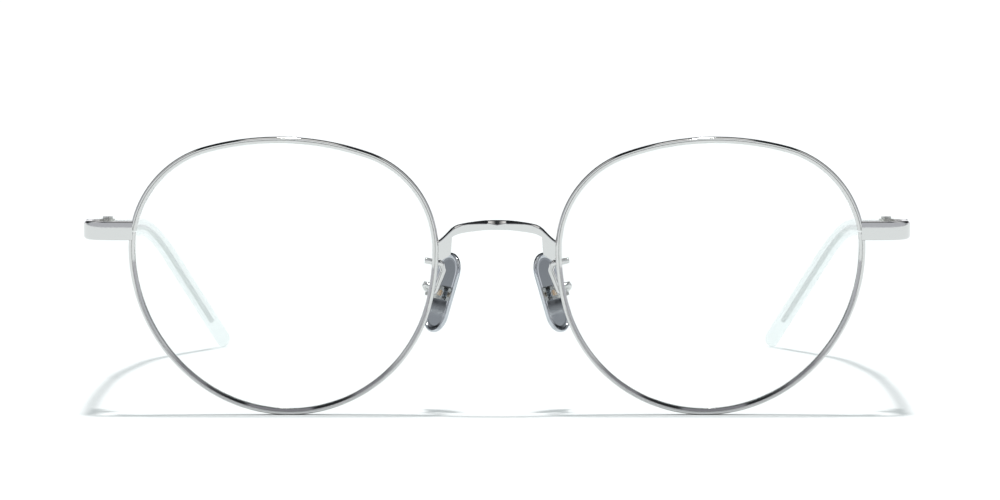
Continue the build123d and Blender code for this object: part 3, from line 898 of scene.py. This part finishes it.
def temple_line(thickness):
    """The left temple's middle line, from the hinge through the bend to the end of the tip."""
    bar_x = end_high.x - thickness / 2
    start_z = (end_low.z + end_high.z) / 2
    hinge_depth = HINGE.y - FRONT_Y

    def along(x, depth):
        fall = (depth - hinge_depth) * math.tan(SLOPE)
        return Vector((x, FRONT_Y + depth, start_z - fall))

    run = BOW_DEPTH - hinge_depth
    bow = []
    for step in range(BOW_STEPS):
        outward = BOW_OUT * (1 - (1 - step / BOW_STEPS) ** 2)
        bow.append(along(bar_x + outward, hinge_depth + HINGE_GAP + run * step / BOW_STEPS))
    corners = [
        along(bar_x + BOW_OUT, BOW_DEPTH),
        along(bar_x + BOW_OUT - STRAIGHT_DRIFT, BOW_DEPTH + STRAIGHT_RUN),
        along(*BEND),
        Vector((TIP_END[0], FRONT_Y + TIP_END[1], TIP_END[2])),
    ]
    return spread(bow + filleted(corners, BEND_RADII, math.radians(3)), LINE_SPACING)


class EYEGLASS_OT_temples(bpy.types.Operator):
    """Draw both temples down to their cores and sleeve them with clear tips"""

    bl_idname = "eyeglass.temples"
    bl_label = "Temples and tips"

    def execute(self, context):
        sizes = context.scene.eyeglass_temples
        line = temple_line(sizes.bar_thickness)
        for side_name, side in SIDES:
            self.make_bar(sizes, side_name, [mirrored(point, side) for point in line])
            self.make_tip(sizes, side_name, [mirrored(point, side) for point in line])
        return {"FINISHED"}

    def make_bar(self, sizes, side_name, line):
        """The flat bar, tapering to the round core that ends inside the tip."""
        core = [point for point in line if point.z > CORE_END_Z]

        def ring_at(share, point, across, up):
            depth = point.y - FRONT_Y
            taper = min(1, max(0, (depth - (HINGE.y - FRONT_Y)) / BAR_RUN))
            drawn = min(1, max(0, (depth - TIP_START_DEPTH) / DRAW_RUN))
            height = sizes.bar_height + (sizes.bar_end_height - sizes.bar_height) * taper
            height += (2 * sizes.core_radius - height) * drawn
            width = sizes.bar_thickness + (2 * sizes.core_radius - sizes.bar_thickness) * drawn
            corner = sizes.bar_edge + (sizes.core_radius - sizes.bar_edge) * drawn
            return soft_box(point, across, up, width, height, corner)

        mesh = skin(f"temple_bar_{side_name}", upright_rings(core, ring_at))
        place_piece(
            mesh, f"{side_name}_temple", [f"temple_{side_name}"],
            "rhodium_plated_nickel_silver",
        )

    def make_tip(self, sizes, side_name, line):
        """The oval sleeve, a little fuller towards its rounded end."""
        sleeve = [point for point in line if point.y - FRONT_Y >= TIP_START_DEPTH]

        def ring_at(share, point, across, up):
            wider = sizes.tip_end_width - sizes.tip_front_width
            higher = sizes.tip_end_height - sizes.tip_front_height
            width = sizes.tip_front_width + share * wider
            height = sizes.tip_front_height + share * higher
            return oval(point, across, up, width, height)

        rings = upright_rings(sleeve, ring_at)
        first, last = rings[0], rings[-1]
        heading = (sleeve[-1] - sleeve[-2]).normalized()
        opening = (sleeve[0] - sleeve[1]).normalized()
        for turn in TIP_DOME_TURNS:
            lift = heading * TIP_DOME * math.sin(math.radians(turn))
            shrink = math.cos(math.radians(turn))
            rings.append([sleeve[-1] + (point - sleeve[-1]) * shrink + lift for point in last])
        for ahead, shrink in TIP_MOUTH:
            ring = [sleeve[0] + (point - sleeve[0]) * shrink + opening * ahead for point in first]
            rings.insert(0, ring)
        mesh = skin(f"tip_sleeve_{side_name}", rings)
        place_piece(
            mesh, f"{side_name}_temple", [f"temple_tip_{side_name}"],
            "clear_cellulose_acetate",
        )


# ---- Stage ----
CAMERA_DISTANCE = 685 * MM
CAMERA_HEIGHT = 72 * MM
CAMERA_PITCH = math.radians(3.71)
CAMERA_LENS = 148.7
CAMERA_SHIFT_X = 0.5 * MM
FLOOR_HALF_WIDTH = 30
SUN_STRENGTH = 1.65


class EYEGLASS_OT_stage(bpy.types.Operator):
    """Lay the white floor and set the soft studio light and the camera"""

    bl_idname = "eyeglass.stage"
    bl_label = "Floor, light and camera"

    def execute(self, context):
        scene = context.scene
        build = bmesh.new()
        bmesh.ops.create_grid(build, x_segments=8, y_segments=8, size=FLOOR_HALF_WIDTH)
        mesh = bpy.data.meshes.new("paper_floor")
        build.to_mesh(mesh)
        build.free()
        mesh.materials.append(finish_named("white_paper"))
        floor = bpy.data.objects.new("paper_floor", mesh)
        scene.collection.objects.link(floor)
        floor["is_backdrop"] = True

        lamp = bpy.data.lights.new("overhead_lamp", "SUN")
        lamp.energy = SUN_STRENGTH
        lamp.angle = math.radians(5)
        sun = bpy.data.objects.new("overhead_lamp", lamp)
        sun.rotation_euler = (math.radians(-4), 0, 0)
        scene.collection.objects.link(sun)
        self.make_world(scene)

        camera_data = bpy.data.cameras.new("camera")
        camera_data.lens = CAMERA_LENS
        camera_data.sensor_width = 36
        camera_data.clip_start = 0.01
        camera_data.clip_end = 100
        camera = bpy.data.objects.new("camera", camera_data)
        camera.location = (CAMERA_SHIFT_X, FRONT_Y - CAMERA_DISTANCE, CAMERA_HEIGHT)
        camera.rotation_euler = (math.pi / 2 - CAMERA_PITCH, 0, 0)
        scene.collection.objects.link(camera)
        scene.camera = camera
        scene.view_settings.view_transform = "Standard"
        return {"FINISHED"}

    def make_world(self, scene):
        """White surroundings, with a dimmer light on the floor.

        Reflections see another room: pale walls, shaded flanks, a white backdrop behind, low
        down, a dark ceiling over it, a dim one in front, and dark gaps to each side overhead."""
        world = bpy.data.worlds.new("studio")
        scene.world = world
        world.use_nodes = True
        tree = world.node_tree
        background = tree.nodes["Background"]
        coords = add_node(tree, "ShaderNodeTexCoord")
        axes = add_node(
            tree, "ShaderNodeSeparateXYZ", links={"Vector": coords.outputs["Generated"]}
        )
        sideways = add_node(
            tree, "ShaderNodeMath", links={0: axes.outputs["X"]}, operation="ABSOLUTE"
        )

        def ramp(socket, stops):
            made = add_node(tree, "ShaderNodeValToRGB", links={"Fac": socket})
            elements = made.color_ramp.elements
            elements.remove(elements[1])
            for place, (position, rgb) in enumerate(stops):
                element = elements.new(position) if place else elements[0]
                element.position = position
                element.color = (*(rgb if isinstance(rgb, tuple) else (rgb, rgb, rgb)), 1)
            return made.outputs["Color"]

        towards = add_node(
            tree, "ShaderNodeMath", {0: -1.0}, {1: axes.outputs["Y"]}, operation="MULTIPLY"
        )
        walls = ramp(
            axes.outputs["Z"],
            (
                (0, (0.62, 0.63, 0.67)),
                (0.3, (0.6, 0.62, 0.66)),
                (0.6, 0.85),
                (0.9, (1.0, 0.99, 0.97)),
            ),
        )
        flank = ramp(axes.outputs["Y"], ((0.08, 0), (0.2, 1), (0.5, 1), (0.62, 0)))
        behind = ramp(axes.outputs["Y"], ((0.2, 0), (0.45, 1)))
        before = ramp(towards.outputs["Value"], ((0.25, 0), (0.42, 1)))
        front_ceiling = ramp(axes.outputs["Z"], ((0.42, 0), (0.52, 1), (0.78, 1), (0.86, 0)))
        ceiling = ramp(axes.outputs["Z"], ((0.16, 0), (0.24, 1), (0.91, 1), (0.97, 0)))
        gap = ramp(sideways.outputs["Value"], ((0.17, 0), (0.2, 1), (0.4, 1), (0.45, 0)))
        above = ramp(axes.outputs["Z"], ((0.5, 0), (0.7, 1)))
        backdrop = ramp(axes.outputs["Z"], ((0.16, 1), (0.26, 0)))

        def mix(factor, first, second, blend="MIX"):
            made = add_node(tree, "ShaderNodeMix", data_type="RGBA", blend_type=blend)
            for place, value in ((0, factor), (6, first), (7, second)):
                if isinstance(value, bpy.types.NodeSocket):
                    tree.links.new(value, made.inputs[place])
                else:
                    made.inputs[place].default_value = value
            return made.outputs[2]

        white = (0.97, 0.97, 1, 1)
        dark = (0.025, 0.027, 0.03, 1)
        shade = (0.46, 0.48, 0.5, 1)
        dim = (0.3, 0.3, 0.33, 1)
        mirrored_room = mix(mix(1.0, behind, backdrop, "MULTIPLY"), walls, white)
        mirrored_room = mix(flank, mirrored_room, shade)
        mirrored_room = mix(mix(1.0, before, front_ceiling, "MULTIPLY"), mirrored_room, dim)
        mirrored_room = mix(mix(1.0, behind, ceiling, "MULTIPLY"), mirrored_room, dark)
        mirrored_room = mix(mix(1.0, gap, above, "MULTIPLY"), mirrored_room, dark)
        rays = add_node(tree, "ShaderNodeLightPath")
        lit_room = mix(rays.outputs["Is Diffuse Ray"], (1, 1, 1, 1), (0.55, 0.6, 0.605, 1))
        room = mix(rays.outputs["Is Glossy Ray"], lit_room, mirrored_room)
        tree.links.new(room, background.inputs["Color"])


class EYEGLASS_PT_panel(bpy.types.Panel):
    """Lists the steps that build the eyeglasses"""

    bl_idname = "EYEGLASS_PT_panel"
    bl_label = "Round Wire Eyeglasses"
    bl_space_type = "VIEW_3D"
    bl_region_type = "UI"
    bl_category = "Eyeglasses"

    def draw(self, context):
        for operator in OPERATORS:
            self.layout.operator(operator.bl_idname)


SETTINGS = (
    ("eyeglass_front", FrontSizes),
    ("eyeglass_pads", PadSizes),
    ("eyeglass_temples", TempleSizes),
    ("eyeglass_finishes", Finishes),
)
OPERATORS = (
    EYEGLASS_OT_stage,
    EYEGLASS_OT_rims,
    EYEGLASS_OT_lenses,
    EYEGLASS_OT_bridge,
    EYEGLASS_OT_end_pieces,
    EYEGLASS_OT_hardware,
    EYEGLASS_OT_pads,
    EYEGLASS_OT_temples,
)


def register():
    """Register the settings, operators and panel."""
    for name, group in SETTINGS:
        bpy.utils.register_class(group)
        setattr(bpy.types.Scene, name, bpy.props.PointerProperty(type=group))
    for cls in (*OPERATORS, EYEGLASS_PT_panel):
        bpy.utils.register_class(cls)


def unregister():
    """Take the panel, operators and settings away again."""
    for cls in (EYEGLASS_PT_panel, *reversed(OPERATORS)):
        bpy.utils.unregister_class(cls)
    for name, group in reversed(SETTINGS):
        delattr(bpy.types.Scene, name)
        bpy.utils.unregister_class(group)


def main():
    """Build everything in order."""
    register()
    for operator in OPERATORS:
        family, name = operator.bl_idname.split(".")
        getattr(getattr(bpy.ops, family), name)()
    boxes = {"cad": cad_box, "visual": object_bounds()}
    {name: [list(corner) for corner in box] for name, box in boxes.items()}


if __name__ == "__main__":
    main()
